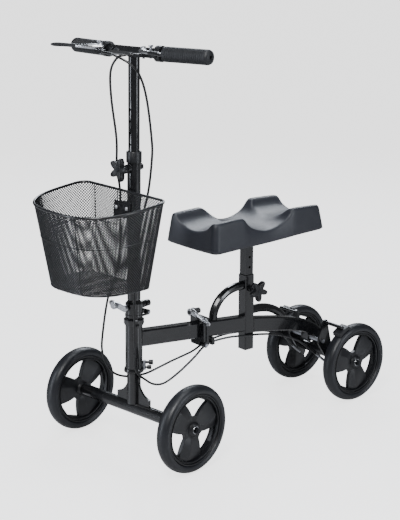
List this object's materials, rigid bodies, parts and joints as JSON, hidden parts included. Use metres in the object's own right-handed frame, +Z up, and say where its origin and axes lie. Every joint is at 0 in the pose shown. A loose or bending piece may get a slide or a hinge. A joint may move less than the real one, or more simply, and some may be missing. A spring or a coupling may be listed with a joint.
{
  "type": "knee scooter",
  "caption": "Steerable folding knee scooter with a padded knee rest on a height-adjustable post, small wheels front and rear, a handlebar with brake levers, cable brakes and a mesh basket",
  "frame": {"origin": "on the ground under the middle of the overall box, standing on its wheels", "axes": "+Z up, -Y forward, +X to the rider's left"},
  "size_m": [0.4184, 0.9394, 0.9295],
  "materials": {
    "black_paint": "glossy black powder coat",
    "black_plastic": "moulded satin black",
    "tyre": "smooth solid tyre",
    "grip": "ribbed rubber",
    "pad": "soft moulded foam skin, dark grey",
    "basket": "black coated wire mesh",
    "cable": "black cable housing",
    "zinc": "zinc plated steel",
    "silver": "satin cast aluminium"
  },
  "bodies": {
    "front_frame": {"front_beam": "black_paint", "head_tube": "black_paint", "headset_lower": "zinc", "headset_upper": "black_paint", "hinge_pin": "zinc", "latch_bolt": "black_plastic", "brake_cable_left": "cable", "brake_cable_right": "cable"},
    "rear_frame": {"mid_beam": "black_paint", "tail_beam": "black_paint", "seat_sleeve": "black_paint", "front_arch_tube": "black_paint", "rear_arch_tube": "black_paint", "rear_axle_tube": "black_paint", "rear_axle": "zinc", "brake_shaft": "zinc", "cable_clip": "black_plastic"},
    "steering": {"fork": "black_paint", "front_axle": "zinc", "fold_base": "black_paint", "fold_pin": "zinc"},
    "column": {"fold_head": "black_paint", "fold_skewer": "black_plastic", "outer_column": "black_paint", "column_collar": "black_plastic", "basket": "basket", "basket_bracket": "black_paint", "basket_hanger": "black_paint", "basket_bolt_left": "zinc", "basket_bolt_right": "zinc"},
    "handlebar": {"inner_column": "black_paint", "handlebar": "black_paint", "grip_left": "grip", "grip_right": "grip", "lever_bracket_left": "black_plastic", "lever_bracket_right": "black_plastic"},
    "seat": {"seat_post": "black_paint", "seat_plate": "black_paint", "knee_pad": "pad"},
    "front_wheel_left": {"front_wheel_left": "black_plastic", "front_wheel_left_tyre": "tyre"},
    "front_wheel_right": {"front_wheel_right": "black_plastic", "front_wheel_right_tyre": "tyre"},
    "rear_wheel_left": {"rear_wheel_left": "black_plastic", "rear_wheel_left_tyre": "tyre"},
    "rear_wheel_right": {"rear_wheel_right": "black_plastic", "rear_wheel_right_tyre": "tyre"},
    "column_knob": {"column_knob": "black_plastic"},
    "seat_knob": {"seat_knob": "black_plastic"},
    "fold_lever": {"fold_lever": "silver"},
    "latch_lever": {"latch_lever": "silver"},
    "brake_lever_left": {"brake_lever_left": "silver"},
    "brake_lever_right": {"brake_lever_right": "silver"},
    "lock_pin_left": {"lock_pin_left": "zinc"},
    "lock_pin_right": {"lock_pin_right": "zinc"},
    "brake_arm_left": {"brake_arm_left": "black_paint", "brake_shoe_left": "black_plastic"},
    "brake_arm_right": {"brake_arm_right": "black_paint", "brake_shoe_right": "black_plastic"}
  },
  "joints": [
    {"name": "frame_fold", "type": "hinge", "parent": "front_frame", "child": "rear_frame", "pos_m": [0, -0.0512, 0.214], "axis": [-1, 0, 0], "range_deg": [0, 95], "deforming": ["brake_cable_left", "brake_cable_right"]},
    {"name": "steer", "type": "hinge", "parent": "front_frame", "child": "steering", "pos_m": [0, -0.2464, 0.1], "axis": [0, 0.0174, 0.9998], "range_deg": [-52, 38], "deforming": ["brake_cable_left", "brake_cable_right"]},
    {"name": "column_fold", "type": "hinge", "parent": "steering", "child": "column", "pos_m": [-0.00357, -0.21418, 0.32567], "axis": [-0.9921, -0.1253, 0.0022], "range_deg": [0, 25], "deforming": ["brake_cable_left", "brake_cable_right"]},
    {"name": "bar_height", "type": "slide", "parent": "column", "child": "handlebar", "axis": [0, 0.0174, 0.9998], "range_m": [-0.1, 0.05], "deforming": ["brake_cable_left", "brake_cable_right"]},
    {"name": "seat_height", "type": "slide", "parent": "rear_frame", "child": "seat", "axis": [0, 0, 1], "range_m": [-0.075, 0.05]},
    {"name": "front_wheel_left_spin", "type": "hinge", "parent": "steering", "child": "front_wheel_left", "pos_m": [0.18156, -0.22347, 0.0996], "axis": [0.9921, 0.1253, -0.0022], "continuous": true},
    {"name": "front_wheel_right_spin", "type": "hinge", "parent": "steering", "child": "front_wheel_right", "pos_m": [-0.18156, -0.26933, 0.1004], "axis": [0.9921, 0.1253, -0.0022], "continuous": true},
    {"name": "rear_wheel_left_spin", "type": "hinge", "parent": "rear_frame", "child": "rear_wheel_left", "pos_m": [0.104, 0.3696, 0.1], "axis": [1, 0, 0], "continuous": true},
    {"name": "rear_wheel_right_spin", "type": "hinge", "parent": "rear_frame", "child": "rear_wheel_right", "pos_m": [-0.104, 0.3696, 0.1], "axis": [1, 0, 0], "continuous": true},
    {"name": "column_knob_turn", "type": "hinge", "parent": "column", "child": "column_knob", "pos_m": [0.00188, -0.25154, 0.65817], "axis": [0.1253, -0.992, 0.0173], "continuous": true},
    {"name": "seat_knob_turn", "type": "hinge", "parent": "rear_frame", "child": "seat_knob", "pos_m": [0.014, 0.0956, 0.324], "axis": [1, 0, 0], "continuous": true},
    {"name": "fold_lever_turn", "type": "hinge", "parent": "column", "child": "fold_lever", "pos_m": [0, -0.24218, 0.34196], "axis": [0.1253, -0.992, 0.0173], "range_deg": [0, 80]},
    {"name": "latch_lever_turn", "type": "hinge", "parent": "front_frame", "child": "latch_lever", "pos_m": [-0.014, -0.0512, 0.2897], "axis": [0, -1, 0], "range_deg": [0, 100]},
    {"name": "brake_lever_left_pull", "type": "hinge", "parent": "handlebar", "child": "brake_lever_left", "pos_m": [0.06999, -0.25959, 0.91685], "axis": [0, 0.0174, 0.9998], "range_deg": [0, 20], "stiffness_Nm_per_rad": 0.6, "deforming": ["brake_cable_left"]},
    {"name": "brake_lever_right_pull", "type": "hinge", "parent": "handlebar", "child": "brake_lever_right", "pos_m": [-0.06097, -0.27613, 0.91714], "axis": [0, -0.0174, -0.9998], "range_deg": [0, 20], "stiffness_Nm_per_rad": 0.6, "deforming": ["brake_cable_right"]},
    {"name": "lock_pin_left_press", "type": "slide", "parent": "handlebar", "child": "lock_pin_left", "axis": [0, -0.0174, -0.9998], "range_m": [0, 0.003], "stiffness_N_per_m": 300, "springref_m": -0.001},
    {"name": "lock_pin_right_press", "type": "slide", "parent": "handlebar", "child": "lock_pin_right", "axis": [0, -0.0174, -0.9998], "range_m": [0, 0.003], "stiffness_N_per_m": 300, "springref_m": -0.001},
    {"name": "brake_arm_left_press", "type": "hinge", "parent": "rear_frame", "child": "brake_arm_left", "pos_m": [0, 0.3056, 0.1557], "axis": [-1, 0, 0], "range_deg": [0, 1.6], "deforming": ["brake_cable_right"]},
    {"name": "brake_arm_right_press", "type": "hinge", "parent": "rear_frame", "child": "brake_arm_right", "pos_m": [0, 0.3056, 0.1557], "axis": [-1, 0, 0], "range_deg": [0, 1.6], "deforming": ["brake_cable_left"]}
  ],
  "couplings": [
    {"joint": "brake_arm_left_press", "follows": "brake_lever_right_pull", "ratio": 0.08},
    {"joint": "brake_arm_right_press", "follows": "brake_lever_left_pull", "ratio": 0.08}
  ]
}
